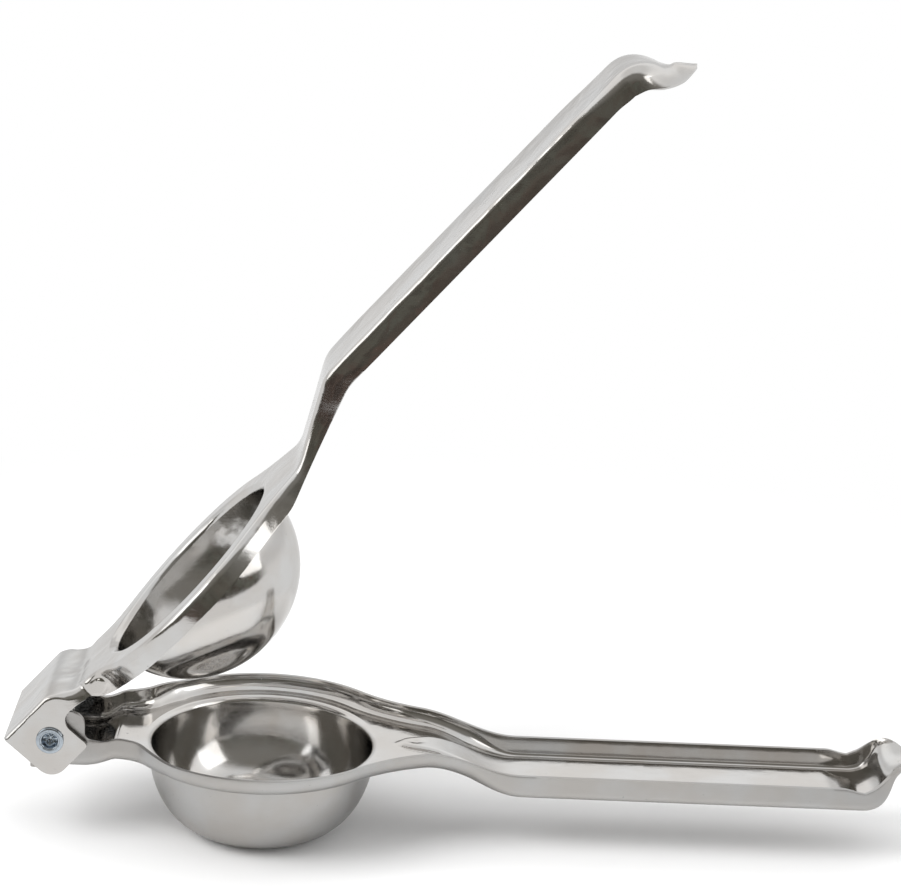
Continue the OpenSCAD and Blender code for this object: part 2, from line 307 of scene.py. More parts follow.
def tip_columns(centre, edge, x_end, nose, half, shape, inner, count, opening, sharp):
    """Columns round the tip: the channel opens into a spoon-shaped lip with a rounded nose."""
    columns = []
    for k in range(count + 1):
        t = k / count
        ex = x_end + (nose - x_end) * math.sin(math.pi / 2 * t)
        ey = half * math.cos(math.pi / 2 * t) ** sharp
        ez = curve(ex, edge)
        cx, cz = on_path(centre, along(ex, inner))
        spoon, fan = ease(t, *opening[:2]), ease(t, *opening[2:])
        power = mix(2.4, 1.0, ease(t, 0.55, 1.0))
        column = []
        for i, (a, g) in enumerate(shape):
            v = i / (len(shape) - 1)
            a, g = mix(a, v, spoon), mix(g, v ** power, spoon)
            column.append((cx + (ex - cx) * mix(g, a, fan), ey * a, cz + (ez - cz) * g))
        columns.append(column)
    return columns


def lathe(profile, count):
    """Points and outward faces of (radius, depth) pairs turned round the Y axis, closed at a pole at each end."""
    turned = profile[1:-1]
    points = [(0.0, -profile[0][1], 0.0)]
    for r, z in turned:
        points += [(r * math.sin(math.tau * k / count), -z, r * math.cos(math.tau * k / count)) for k in range(count)]
    points.append((0.0, -profile[-1][1], 0.0))
    faces = []
    for k in range(count):
        near, far = 1 + k, 1 + (k + 1) % count
        faces.append((0, near, far))
        for i in range(0, (len(turned) - 1) * count, count):
            faces.append((near + i, near + i + count, far + i + count, far + i))
        last = (len(turned) - 1) * count
        faces.append((near + last, len(points) - 1, far + last))
    return points, faces


def bent_tip(x, z, r1, a1, r2, a2, lip, up):
    """Centre line of a tip: bend, bend back, straight lip; up is 1 when it turns up."""
    a1, a2 = math.radians(a1), math.radians(a2)
    pts = [(x + r1 * math.sin(a), z + up * r1 * (1 - math.cos(a))) for a in steps(0, a1, 12)]
    ex, ez = pts[-1]
    cx, cz = ex + r2 * math.sin(a1), ez - up * r2 * math.cos(a1)
    pts += [(cx - r2 * math.sin(a), cz + up * r2 * math.cos(a)) for a in steps(a1, a2, 8)[1:]]
    fx, fz = pts[-1]
    return path(pts + [(fx + lip * math.cos(a2), fz + up * lip * math.sin(a2))])


# ---------------------------------------------------------------- node helpers


class Tree:
    """A node tree in which add() makes a node from its type, its settings and the values or links of its sockets."""

    def __init__(self, tree):
        self.tree = tree

    def add(self, kind, settings=None, **sockets):
        node = self.tree.nodes.new(kind)
        for key, value in (settings or {}).items():
            setattr(node, key, value)
        for key, value in sockets.items():
            name = key.replace("_", " ").strip()
            socket = node.inputs[int(name[1:])] if name[:1] == "i" and name[1:].isdigit() else node.inputs[name]
            if isinstance(value, Value):
                value = value.socket
            if isinstance(value, bpy.types.NodeSocket):
                self.tree.links.new(value, socket)
            else:
                socket.default_value = value
        return node

    def value(self, node, output=0):
        return Value(self, node.outputs[output])


class Value:
    """A socket that can be used in sums."""

    def __init__(self, tree, socket):
        self.tree, self.socket = tree, socket

    def math(self, operation, other):
        return self.tree.value(self.tree.add("ShaderNodeMath", {"operation": operation}, i0=self, i1=other))

    def __add__(self, other):
        return self.math("ADD", other)

    __radd__ = __add__

    def __sub__(self, other):
        return self.math("SUBTRACT", other)

    def __rsub__(self, other):
        return self.tree.value(self.tree.add("ShaderNodeMath", {"operation": "SUBTRACT"}, i0=other, i1=self))

    def __mul__(self, other):
        return self.math("MULTIPLY", other)

    __rmul__ = __mul__

    def range(self, a, b, to_a=0.0, to_b=1.0):
        return self.tree.value(self.tree.add(
            "ShaderNodeMapRange", {"interpolation_type": "SMOOTHSTEP"}, Value=self, From_Min=a, From_Max=b,
            To_Min=to_a, To_Max=to_b))


def blend_colour(tree, factor, a, b):
    return tree.value(tree.add("ShaderNodeMix", {"data_type": "RGBA"}, i0=factor, i6=a, i7=b), 2)


def new_material(name):
    material = bpy.data.materials.new(name)
    material.use_nodes = True
    material.node_tree.nodes.clear()
    return material, Tree(material.node_tree)


def noise(tree, where, scale, detail=2.0, roughness=0.5, distortion=0.0):
    return tree.value(tree.add(
        "ShaderNodeTexNoise", Vector=where, Scale=scale, Detail=detail, Roughness=roughness, Distortion=distortion))


def steel(name, colour, rough, waves, grain):
    """Stainless steel: slow pressing waves, fine grain, faint rub marks and cloudy patches."""
    material, tree = new_material(name)
    where = tree.value(tree.add("ShaderNodeTexCoord"), "Object")
    long = tree.value(tree.add(
        "ShaderNodeMapping", Vector=where, Rotation=(0.0, 0.4, 0.0), Scale=(0.06, 1.0, 1.0)))
    rub = noise(tree, long, 2600.0, 4.0, 0.6)
    cloud = noise(tree, where, 70.0, 3.0, 0.55)
    fine = noise(tree, where, 2400.0, 3.0, 0.6)
    wave = noise(tree, where, 95.0, 2.0, 0.5, 0.4)
    pits = noise(tree, where, 900.0, 2.0, 0.5).range(0.73, 0.80)
    tone = blend_colour(tree, cloud.range(0.35, 0.7), (*[c * k for c, k in zip(colour, (0.93, 0.90, 0.87))], 1),
                        (*colour, 1))
    tone = blend_colour(tree, pits, tone, (*[c * 0.72 for c in colour], 1))
    roughness = rub.range(0.35, 0.75, -0.03, 0.04) + cloud.range(0.3, 0.7, -0.02, 0.03) + pits * 0.15 + rough
    height = wave * waves + (fine - 0.5) * grain + (rub - 0.5) * (grain * 0.8)
    bump = tree.add("ShaderNodeBump", Strength=1.0, Distance=1.0, Height=height)
    shader = tree.add("ShaderNodeBsdfPrincipled", Base_Color=tone, Roughness=roughness, Metallic=1.0,
                      Specular_Tint=(0.84, 0.84, 0.84, 1.0), Normal=bump.outputs[0])
    tree.add("ShaderNodeOutputMaterial", Surface=shader.outputs[0])
    return material


def polished_steel(finish):
    """The bright steel that both arms share."""
    return bpy.data.materials.get("polished_steel") or steel(
        "polished_steel", finish.steel, finish.polish, 0.00010, 0.000004)


def zinc(name, colour):
    """Bright bluish plating with a fine grain and faint cloudy patches."""
    material, tree = new_material(name)
    where = tree.value(tree.add("ShaderNodeTexCoord"), "Object")
    fine = noise(tree, where, 1600.0, 3.0)
    cloud = noise(tree, where, 500.0, 2.0)
    tone = blend_colour(tree, cloud.range(0.35, 0.65), (*[c * 0.85 for c in colour], 1), (*colour, 1))
    bump = tree.add("ShaderNodeBump", Strength=1.0, Distance=1.0, Height=fine * 0.000012)
    shader = tree.add("ShaderNodeBsdfPrincipled", Base_Color=tone, Roughness=fine.range(0.3, 0.7, 0.14, 0.26),
                      Metallic=1.0, Normal=bump.outputs[0])
    tree.add("ShaderNodeOutputMaterial", Surface=shader.outputs[0])
    return material


# ---------------------------------------------------------------- pieces


def grown(name, tree_name, build, mesh, values):
    """Runs a Geometry Nodes tree on a mesh and returns the plain result. build fills the tree from its inputs."""
    group = bpy.data.node_groups.new(tree_name, "GeometryNodeTree")
    group.interface.new_socket("Geometry", in_out="INPUT", socket_type="NodeSocketGeometry")
    for key, (kind, value) in values.items():
        group.interface.new_socket(key, in_out="INPUT", socket_type=kind)
    group.interface.new_socket("Geometry", in_out="OUTPUT", socket_type="NodeSocketGeometry")
    tree = Tree(group)
    source = tree.add("NodeGroupInput")
    last = build(tree, source)
    real = tree.add("GeometryNodeRealizeInstances", Geometry=last)
    done = tree.add("GeometryNodeSetMaterial", Geometry=real.outputs[0], Material=source.outputs["Material"])
    tree.add("NodeGroupOutput", Geometry=done.outputs[0])
    carrier = bpy.data.objects.new(name + "_carrier", mesh)
    bpy.context.scene.collection.objects.link(carrier)
    modifier = carrier.modifiers.new("Nodes", "NODES")
    modifier.node_group = group
    for item in group.interface.items_tree:
        if item.in_out == "INPUT" and item.name in values:
            modifier[item.identifier] = values[item.name][1]
    bpy.context.view_layer.update()
    evaluated = carrier.evaluated_get(bpy.context.evaluated_depsgraph_get())
    result = bpy.data.meshes.new_from_object(evaluated)
    result.name = name
    carrier.modifiers.remove(modifier)
    bpy.data.objects.remove(carrier)
    return result


def strainer_nodes(tree, source):
    """Flat disc with rings of round holes, filled between circles."""
    rim = tree.add("GeometryNodeCurvePrimitiveCircle", Resolution=source.outputs["Edge Points"],
                   Radius=source.outputs["Radius"])
    hole = tree.add("GeometryNodeCurvePrimitiveCircle", Resolution=20, Radius=source.outputs["Hole Radius"])
    join = tree.add("GeometryNodeJoinGeometry")
    tree.tree.links.new(rim.outputs[0], join.inputs[0])
    tree.tree.links.new(hole.outputs[0], join.inputs[0])
    for ring in (1, 2):
        far = Value(tree, source.outputs["Pitch"]) * float(ring)
        circle = tree.add("GeometryNodeCurvePrimitiveCircle", Resolution=6 * ring, Radius=far)
        turned = tree.add("GeometryNodeTransform", Geometry=circle.outputs[0],
                          Rotation=(0.0, 0.0, math.radians(15 * ring)))
        placed = tree.add("GeometryNodeCurveToPoints", {"mode": "EVALUATED"}, Curve=turned.outputs[0])
        copies = tree.add("GeometryNodeInstanceOnPoints", Points=placed.outputs[0], Instance=hole.outputs[0])
        flat = tree.add("GeometryNodeRealizeInstances", Geometry=copies.outputs[0])
        tree.tree.links.new(flat.outputs[0], join.inputs[0])
    return tree.add("GeometryNodeFillCurve", Curve=join.outputs[0]).outputs[0]


def rivet_nodes(tree, source):
    """One rivet on each side of the hinge, the far one turned round."""
    line = tree.add("GeometryNodeMeshLine", {"mode": "OFFSET"}, Count=2, Offset=(0.0, 0.0, 0.0))
    index = tree.value(tree.add("GeometryNodeInputIndex"))
    turn = tree.add("ShaderNodeCombineXYZ", X=index * math.pi)
    copies = tree.add("GeometryNodeInstanceOnPoints", Points=line.outputs[0], Instance=source.outputs["Geometry"],
                      Rotation=turn.outputs[0])
    return tree.add("GeometryNodeTransform", Geometry=copies.outputs[0],
                    Translation=source.outputs["Hinge"]).outputs[0]


def even_shading(piece):
    even = piece.modifiers.new("Shade", "WEIGHTED_NORMAL")
    even.keep_sharp = True


def cut_edges(piece, thickness, edge):
    """Gives the sheet its thickness on the inside and rounds its cut edges."""
    wall = piece.modifiers.new("Sheet", "SOLIDIFY")
    wall.thickness, wall.offset, wall.use_even_offset = thickness, -1.0, True
    wall.material_offset, wall.material_offset_rim = 1, 0
    round_off = piece.modifiers.new("Edges", "BEVEL")
    round_off.width, round_off.segments = edge, 2
    round_off.limit_method, round_off.angle_limit = "ANGLE", math.radians(55)
    even_shading(piece)


def add_piece(mesh, materials, body, slot, *nodes):
    for polygon in mesh.polygons:
        polygon.use_smooth = True
    mesh.materials.clear()
    for material in materials:
        mesh.materials.append(material)
    piece = bpy.data.objects.new(mesh.name, mesh)
    bpy.context.scene.collection.objects.link(piece)
    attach(piece, body)
    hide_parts(*nodes)
    return piece


LOWER = Outline(ring=35.18, waist=16.5, handle=13.0, fillet=9.0, neck=45.0)
UPPER = Outline(ring=33.3, waist=14.6, handle=11.1, fillet=10.9, neck=46.9)
# Rows of faces across the flat, round the bend and along the wall
ROWS = (28, 8, 6)
UPPER_ROWS = (12, 7, 14)
# Where the ears' flat plates end and the bent wall begins, and where the tips begin
EAR_END, LOWER_END, UPPER_END = 9.0, 202.5, 209.5
HANDLE_HALF = 13
# Outside faces of the ears, inside face of the lower ears' rivet heads, and the holes for the rivets
LOWER_EAR, UPPER_EAR, RIVET_HEAD = 14.9, 16.4, 13.78
LOWER_BORE, UPPER_BORE = 2.56, 2.5
# Radius at which the plate turns down into the bowl or the cup
LOWER_MOUTH, UPPER_MOUTH = 29.0, 27.9
# Underside of the plate round the bowl, start and end of the lower neck's slope
LEDGE, SLOPE = -5.2, (91.2, 116.2)
# The bowl: flat base, the wall's width and height, height of its top and radius of its lip
BASE_R, BASE_Z = 13, -27.2
WALL_W, WALL_H, BOWL_TOP, BOWL_LIP = 15.4, 21.4, -5.8, 0.6
# The cup: radius and depth of the dome, height of its top and radius of its lip
DOME_R, DOME_DEPTH, CUP_TOP, CUP_LIP = 26.3, 24.8, 1.6, 1.6


def round_ring(radius, start):
    """Columns spaced evenly round the ring, then on to where the lines run along the handle."""
    at = lambda a: BOWL_X + radius * math.sin(math.radians(a))
    return [at(a) for a in steps(start, 44, 34)][1:] + steps(at(44), 84, 13)[1:]


def drawn(ring, profile, settle):
    """Columns of a drawn bowl: evenly spaced at its base, meeting the plate's own columns at its mouth."""
    columns = []
    for k, (angle, top) in enumerate(ring):
        even = math.pi * (1 - k / (len(ring) - 1))
        column = []
        for i, (r, z) in enumerate(profile):
            a = mix(even, angle, ease(i, 0, settle))
            column.append((BOWL_X + r * math.cos(a), max(r * math.sin(a), 0.0), z))
        column[-1] = top
        columns.append(column)
    return columns


def lower_floor(x):
    """Underside of the floor: dropped between the ears, level round the bowl, down the neck to the handle."""
    drop = min(max((15.2 - x) * 0.5, 0.0), 2.7)
    soft = 0.35 * max(1 - abs(15.2 - x) / 0.7, 0) ** 2 - 0.5 * max(1 - abs(9.8 - x) / 2.0, 0) ** 2
    return LEDGE - drop - 0.5 * soft - 7.2 * ease(x, *SLOPE)


def lower_rim(x):
    """Top edge of the wall, rounded up into the ears."""
    fillet = 1.3 - math.sqrt(max(1.8 ** 2 - min(max(10 - x, 0), 1.8) ** 2, 0)) + 0.5
    return (-0.5 + fillet + 1.4 * ease(x, 11, 17) * (1 - ease(x, 20, 32))
            - 5.7 * ease(x, *SLOPE) - 1.1 * ease(x, 196.5, 202.5))


def floor_rib(x, y, height):
    """Broad rib down the neck and along the channel, with a dimple in its pointed rear end."""
    width = along(x, [(84.5, 0.2), (88, 2.6), (93, 4.2), (100, 5.6), (112, 7.2), (196, 7.6), (203, 5.0)])
    rise = height * along(x, [(84.5, 0.0), (87, 0.45), (98, 0.5), (108, 0.75), (116, 1.0), (195, 1.0), (202.4, 0.0)])
    body = rise * ease(width + 0.8 - abs(y), 0, mix(1.7, 2.4, ease(x, 92, 104)))
    out = math.hypot((x - 90.0) / 1.4, y)
    return body - 0.3 * ease(2.0 - out, 0, 2.0)


def lower_half(x):
    """Half width and outward normal of the lower arm, drawn in at the ears."""
    y, normal = LOWER.at(x)
    return y - 1.6 * (1 - ease(x, 9, 15)), normal


def lower_columns(s):
    """Points from the middle to the rim at each step along the arm: floor between the ears, plate, bowl."""
    mouth = LOWER_MOUTH
    rear = BOWL_X - mouth
    to = lambda a: math.radians(180 - a) * mouth
    table = [(1, 1 - rear), (15.8, 15.8 - rear), (16.6, 0), (19.1, to(163)), (22.4, to(150)), (24, to(144)),
             (28.6, to(131.5)), (34, to(120)), (51.2, to(90)), (68.8, to(57)), (75.5, to(34)), (80, to(14)),
             (84, to(0)), (100, to(0) + 100 - BOWL_X - mouth), (203, to(0) + 203 - BOWL_X - mouth)]
    nf, nb, nw = ROWS
    xs = (steps(1, EAR_END, 10) + steps(EAR_END, 14, 12)[1:] + steps(14, 15.8, 12)[1:] + steps(15.8, 16.6, 6)[1:]
          + steps(16.6, 19.1, 8)[1:] + steps(19.1, 24, 12)[1:] + steps(24, 34, 15)[1:]
          + round_ring(35.2, -29.2) + steps(84, 100, 40)[1:]
          + steps(100, 120, 28)[1:] + steps(120, 194, 24)[1:] + steps(194, LOWER_END, 14)[1:])
    pan, columns, ring = [], [], []
    for x in xs:
        y, (nx, ny) = lower_half(x)
        qx, qy, angle = inner_end(x, mouth, table)
        bend = mix(mix(3.0, s.ring_bend / MM, ease(x, 14, 36)), s.handle_bend / MM, ease(x, 98, 118))
        bend = min(bend, 0.88 * (lower_rim(max(x, EAR_END)) - lower_floor(x)))
        bx, by = x - nx * bend, y - ny * bend
        column = []
        for t in steps(0, 1, nf):
            px, py = mix(qx, bx, t), mix(qy, by, t)
            column.append((px, py, lower_floor(px) + floor_rib(px, py, s.rib / MM)))
        for a in steps(0, math.pi / 2, nb)[1:]:
            px = bx + nx * bend * math.sin(a)
            column.append((px, by + ny * bend * math.sin(a), lower_floor(px) + bend * (1 - math.cos(a))))
        if x < EAR_END + 1e-6:
            pan.append(list(column))
        if x > EAR_END - 1e-6:
            column += [(x, y, z) for z in steps(lower_floor(x) + bend, lower_rim(x), nw)[1:]]
            columns.append(column)
            if angle is not None:
                ring.append((angle, column[0]))
    profile = [(BASE_R + WALL_W * math.cos(a), BOWL_TOP - WALL_H * math.sin(a)) for a in steps(math.pi / 2, 0, 26)]
    profile += [(mouth - BOWL_LIP * math.cos(a), BOWL_TOP + BOWL_LIP * math.sin(a))
                for a in steps(0, math.pi / 2, 4)[1:]]
    return pan, columns, drawn(ring, profile, 22)


class SQUEEZER_OT_lower_arm(bpy.types.Operator):
    """Lower arm: strainer bowl, upturned wall, ears and channel handle"""
    bl_idname = "squeezer.lower_arm"
    bl_label = "Lower arm"

    def execute(self, context):
        scene = context.scene
        s, strainer, finish = scene.squeezer_sheet, scene.squeezer_strainer, scene.squeezer_finish
        pan, columns, bowl = lower_columns(s)
        shell = Shell()
        shell.grid(pan, False)
        shell.grid(columns, False)
        shell.grid(bowl, False)
        outline = [(c[-1][0], c[-1][2]) for c in pan]
        outline += [(x, z) for x, _, z in columns[0][ROWS[0] + ROWS[1] + 1:]]
        outline += arc(10, 1.3, 1.8, 236.25, 180, 5)[1:] + arc(4.8, 3.6, 3.4, 0, 90, 9)
        outline += arc(0, 0, 7.0, 90, 90 + math.degrees(math.asin(4.9 / 7.0)), 8)[1:]
        outline += arc(-4.4, -7.4, 0.5, 180, 270, 4) + arc(-0.6, -6.3, 1.6, 270, 360, 6)
        outline = [p for i, p in enumerate(outline) if i == 0 or math.dist(p, outline[i - 1]) > 0.01]
        shell.plate(outline, LOWER_BORE, LOWER_EAR, False)
        centre = bent_tip(LOWER_END, -12.4, r1=8, a1=70, r2=4, a2=12, lip=4, up=1)
        edge = [(LOWER_END, -7.3), (205.2, -5.9), (207.6, -3.8), (209.6, -2.3), (211.6, -1.7), (213.6, -2.0),
                (215.4, -2.8), (centre[-1][1][0], centre[-1][1][1])]
        shape = section(HANDLE_HALF, s.handle_bend / MM, 5.1, ROWS)
        shell.grid(tip_columns(centre, edge, LOWER_END, edge[-1][0], HANDLE_HALF, shape,
                               [(LOWER_END, 0), (209.6, 9.77), (212.5, 13.8), (217, 13.8)], 30,
                               (0.12, 0.55, 0.35, 0.75), 1.0), False)
        satin = steel("satin_steel", [c * 0.75 for c in finish.steel], finish.satin, 0.00006, 0.000010)
        polished = polished_steel(finish)
        base = grown("strainer", "Strainer base", strainer_nodes, bpy.data.meshes.new("seed"), {
            "Radius": ("NodeSocketFloat", float(BASE_R)),
            "Hole Radius": ("NodeSocketFloat", strainer.hole / 2 / MM),
            "Pitch": ("NodeSocketFloat", strainer.pitch / MM),
            "Edge Points": ("NodeSocketInt", 2 * (len(bowl) - 1)),
            "Material": ("NodeSocketMaterial", satin),
        })
        disc = [(v.co.x + BOWL_X, v.co.y, BASE_Z) for v in base.vertices]
        down = [tuple(p.vertices) if p.normal.z < 0 else tuple(reversed(p.vertices)) for p in base.polygons]
        if not down:
            raise RuntimeError("the strainer base came back empty")
        mesh = shell.mesh("lower_arm_sheet", Matrix.Translation(HINGE), [(disc, down)])
        piece = add_piece(mesh, (satin, polished), "lower", "lower_steel", "lower_arm")
        cut_edges(piece, s.thickness, s.edge)
        return {"FINISHED"}


def upper_web(x):
    """Top of the sheet: roof, ring, then up the neck to the handle."""
    return (mix(8.3, 4.0, ease(x, 6.2, 14.5)) - 0.8 * ease(x, 14.5, 30)
            + 11.0 * ramp(x, 91.0, 111.7, 2.4) + max(0, x - 116.2) * math.tan(math.radians(0.5)))


FLANGE_EDGE = [(9, 1.6), (11.5, 1.3), (13.1, 0.9), (14.7, 0.55), (15.6, -0.3), (16.5, -1.2), (17.8, -2.05),
               (20, -2.75), (22, -2.9), (25, -2.6), (28, -2.3), (34, -2.15), (44, -1.95), (60, -1.9)]
FLANGE_BEND = [(9.5, 0.78), (10.8, 1.55), (15.0, 1.68), (16.3, 0.88), (22, 0.95), (34, 1.2), (84, 1.2), (96, 1.45),
               (106, 1.3), (116, 0.9), (196, 0.9), (209.5, 2.4)]


def upper_edge(x):
    """Lower edge of the flange."""
    return (curve(x, FLANGE_EDGE) + 10.5 * ramp(x, 84.0, 114.4, 2.2)
            + max(0, x - 116.2) * math.tan(math.radians(0.5)) - 0.5 * ease(x, 204, UPPER_END))


EAR_STEP = [(9, 1.8), (12, 1.5), (13.9, 1.1), (15.0, 0.6), (17.0, 0.45), (18.7, 0.2), (20.2, 0.0), (25, 0.0)]


def upper_half(x):
    """Half width and outward normal of the upper arm, stepped out at the ears."""
    y, normal = UPPER.at(x)
    return y + curve(max(x, EAR_END), EAR_STEP) + 1.9 * ease(x, 92, 126), normal


def web_crown(x, y):
    """The handle's web is very slightly hollow across."""
    return -0.35 * ease(x, 108, 122) * (1 - ease(x, 192, 206)) * (0.5 - (y / 11.6) ** 2)


def stop_bump(x, z, height):
    """Round stop pressed outwards at the flange's edge."""
    d = math.hypot((x - 18.4) * 0.86, z - 0.6) / 2.6
    return (height - curve(max(x, EAR_END), EAR_STEP)) * ease(1 - d, 0.0, 0.4)


def upper_columns(s):
    """Points from the middle to the flange's edge at each step along the arm: roof, plate, cup."""
    mouth = UPPER_MOUTH
    rear = BOWL_X - mouth
    to = lambda a: math.radians(180 - a) * mouth
    table = [(-8, -8 - rear), (13, 13 - rear), (19, 0), (22, to(168)), (24, to(158)), (28.6, to(138)),
             (51.2, to(90)), (68.8, to(57)), (74.2, to(36)), (80, to(14)), (84, to(0)),
             (100, to(0) + 100 - BOWL_X - mouth), (212, to(0) + 212 - BOWL_X - mouth)]
    nf, nb, nw = UPPER_ROWS
    xs = (steps(-7.6, EAR_END, 24) + steps(EAR_END, 19, 32)[1:] + steps(19, 24, 14)[1:] + steps(24, 34, 13)[1:]
          + round_ring(UPPER.ring, -31.1) + steps(84, 120, 48)[1:]
          + steps(120, 204, 24)[1:] + steps(204, UPPER_END, 7)[1:])
    columns, roofs, ring = [], [], []
    for x in xs:
        y, (nx, ny) = upper_half(x)
        qx, qy, angle = inner_end(x, mouth, table)
        bend = s.upper_bend / MM * along(x, FLANGE_BEND)
        bend = min(bend, 0.85 * (upper_web(x) - upper_edge(x)))
        bx, by = x - nx * bend, y - ny * bend
        column = []
        for t in steps(0, 1, nf):
            px, py = mix(qx, bx, t), mix(qy, by, t)
            column.append((px, py, upper_web(px) + web_crown(px, py)))
        for a in steps(0, math.pi / 2, nb)[1:]:
            px = bx + nx * bend * math.sin(a)
            crown = web_crown(px, by) * math.cos(a)
            column.append((px, by + ny * bend * math.sin(a), upper_web(px) + crown - bend * (1 - math.cos(a))))
        if x < EAR_END + 1e-6:
            roofs.append(list(column))
        if x > EAR_END - 1e-6:
            for z in steps(upper_web(x) - bend, upper_edge(x), nw)[1:]:
                up = (z - upper_edge(x)) / (upper_web(x) - bend - upper_edge(x))
                belly = 0.35 * (1 - up * up) * ease(x, 88, 106) * (1 - ease(x, 196, 208))
                out = stop_bump(x, z, s.stop / MM) + belly
                column.append((x + nx * out, y + ny * out, z))
            columns.append(column)
            if angle is not None:
                ring.append((angle, column[0]))
    profile = [(DOME_R * math.cos(a), CUP_TOP - DOME_DEPTH * math.sin(a)) for a in steps(math.pi / 2, 0, 30)]
    profile += [(mouth - CUP_LIP * math.cos(a), CUP_TOP + CUP_LIP * math.sin(a))
                for a in steps(0, math.pi / 2, 6)[1:]]
    return roofs, columns, drawn(ring, profile, 26)


class SQUEEZER_OT_upper_arm(bpy.types.Operator):
    """Upper arm: hinge roof with its ears, ring with the press cup, neck and channel handle"""
    bl_idname = "squeezer.upper_arm"
    bl_label = "Upper arm"

    def execute(self, context):
        scene = context.scene
        s, finish = scene.squeezer_sheet, scene.squeezer_finish
        roofs, columns, cup = upper_columns(s)
        shell = Shell()
        shell.grid(roofs, True)
        shell.grid(columns, True)
        shell.grid(cup, True)
        first = UPPER_ROWS[0] + UPPER_ROWS[1]
        outline = [(c[-1][0], c[-1][2]) for c in roofs]
        outline += [(x, z) for x, _, z in columns[0][first + 1:]]
        outline += arc(8.5, -1.6, 3.2, 90, 180, 8) + arc(4.3, -6.7, 1.0, 0, -90, 4)
        outline += arc(-3.4, -3.5, 4.2, 270, 180, 9)
        shell.plate(outline, UPPER_BORE, UPPER_EAR, False)
        top, start = upper_web(UPPER_END), upper_edge(UPPER_END)
        centre = bent_tip(UPPER_END, top, r1=9.5, a1=72, r2=6, a2=43, lip=6.1, up=-1)
        edge = [(UPPER_END, start), (212.7, 7.6), (215.8, 5.0), (219.8, 2.9), (221.4, 2.45),
                (centre[-1][1][0], centre[-1][1][1])]
        shape = section(HANDLE_HALF, s.upper_bend / MM * FLANGE_BEND[-1][1], top - start, UPPER_ROWS)
        shell.grid(tip_columns(centre, edge, UPPER_END, edge[-1][0], HANDLE_HALF, shape,
                               [(UPPER_END, 0), (217, 11.94), (219.5, 15.0), (225, 15.0)], 34,
                               (0.08, 0.52, 0.3, 0.7), 1.2), True)
        place = Matrix.Translation(HINGE) @ Matrix.Rotation(-s.open_angle, 4, "Y")
        mesh = shell.mesh("upper_arm_sheet", place)
        polished = polished_steel(finish)
        outside = steel("burnished_steel", finish.steel, finish.polish + 0.02, 0.00045, 0.000008)
        piece = add_piece(mesh, (outside, polished), "upper", "upper_steel", "upper_arm")
        cut_edges(piece, s.thickness, s.edge)
        return {"FINISHED"}


class SQUEEZER_OT_rivets(bpy.types.Operator):
    """Both hinge rivets: rolled rim outside, hollow shank, flat head inside"""
    bl_idname = "squeezer.rivets"
    bl_label = "Hinge rivets"

    def execute(self, context):
        s, finish = context.scene.squeezer_rivet, context.scene.squeezer_finish
        rim, bore, ear, inside = s.rim / 2 / MM, s.bore / 2 / MM, UPPER_EAR, RIVET_HEAD
        top = ear + 0.7
        half = [(0.0, inside - 0.6), (rim - 0.15, inside - 0.6), (rim, inside - 0.45), (rim, inside - 0.05),
                (rim - 0.05, inside), (UPPER_BORE, inside), (UPPER_BORE, ear), (rim - 0.3, ear)]
        half += arc(rim - 0.35, ear + 0.33, 0.33, -70, 70, 6)
        half += [(mix(rim - 0.24, bore + 0.42, t), top - 0.07 + 0.07 * ease(t, 0, 0.8)) for t in (0.35, 0.7, 1)]
        half += arc(bore + 0.38, top - 0.38, 0.38, 80, 180, 7)
        half += [(bore - 0.02, top - 1.0), (bore - 0.12, top - 1.7), (bore * 0.8, top - 1.95),
                 (bore * 0.45, top - 2.15), (0.0, top - 2.4)]
        points, faces = lathe(half, 64)
        for i, (x, y, z) in enumerate(points):
            r = math.hypot(x, z)
            if y < -(top - 2.6) and 0.1 < r < bore - 0.05:
                lobes = math.cos(4 * math.atan2(z, x) + 0.6)
                y -= 0.38 * lobes * ease(r, 0.1, 0.9) * (1 - 0.5 * ease(r, bore * 0.7, bore))
                points[i] = (x, y, z)
        one = bpy.data.meshes.new("rivet")
        one.from_pydata([Vector(p) * MM for p in points], [], faces)
        plating = zinc("zinc_plating", finish.zinc)
        both = grown("hinge_rivets", "Rivet pair", rivet_nodes, one, {
            "Hinge": ("NodeSocketVector", HINGE),
            "Material": ("NodeSocketMaterial", plating),
        })
        if len(both.vertices) < 2 * len(one.vertices):
            raise RuntimeError("a rivet is missing")
        piece = add_piece(both, (plating,), "upper", "rivet_zinc", "rivet_near", "rivet_far")
        even_shading(piece)
        return {"FINISHED"}


# ---------------------------------------------------------------- stage


def area_lamp(name, power, size, spot, aim):
    data = bpy.data.lights.new(name, "AREA")
    data.shape, data.size, data.size_y, data.energy = "RECTANGLE", size[0], size[1], power
    lamp = bpy.data.objects.new(name, data)
    lamp.location = spot
    lamp.rotation_euler = (Vector(aim) - Vector(spot)).to_track_quat("-Z", "Y").to_euler()
    bpy.context.scene.collection.objects.link(lamp)
    return lamp


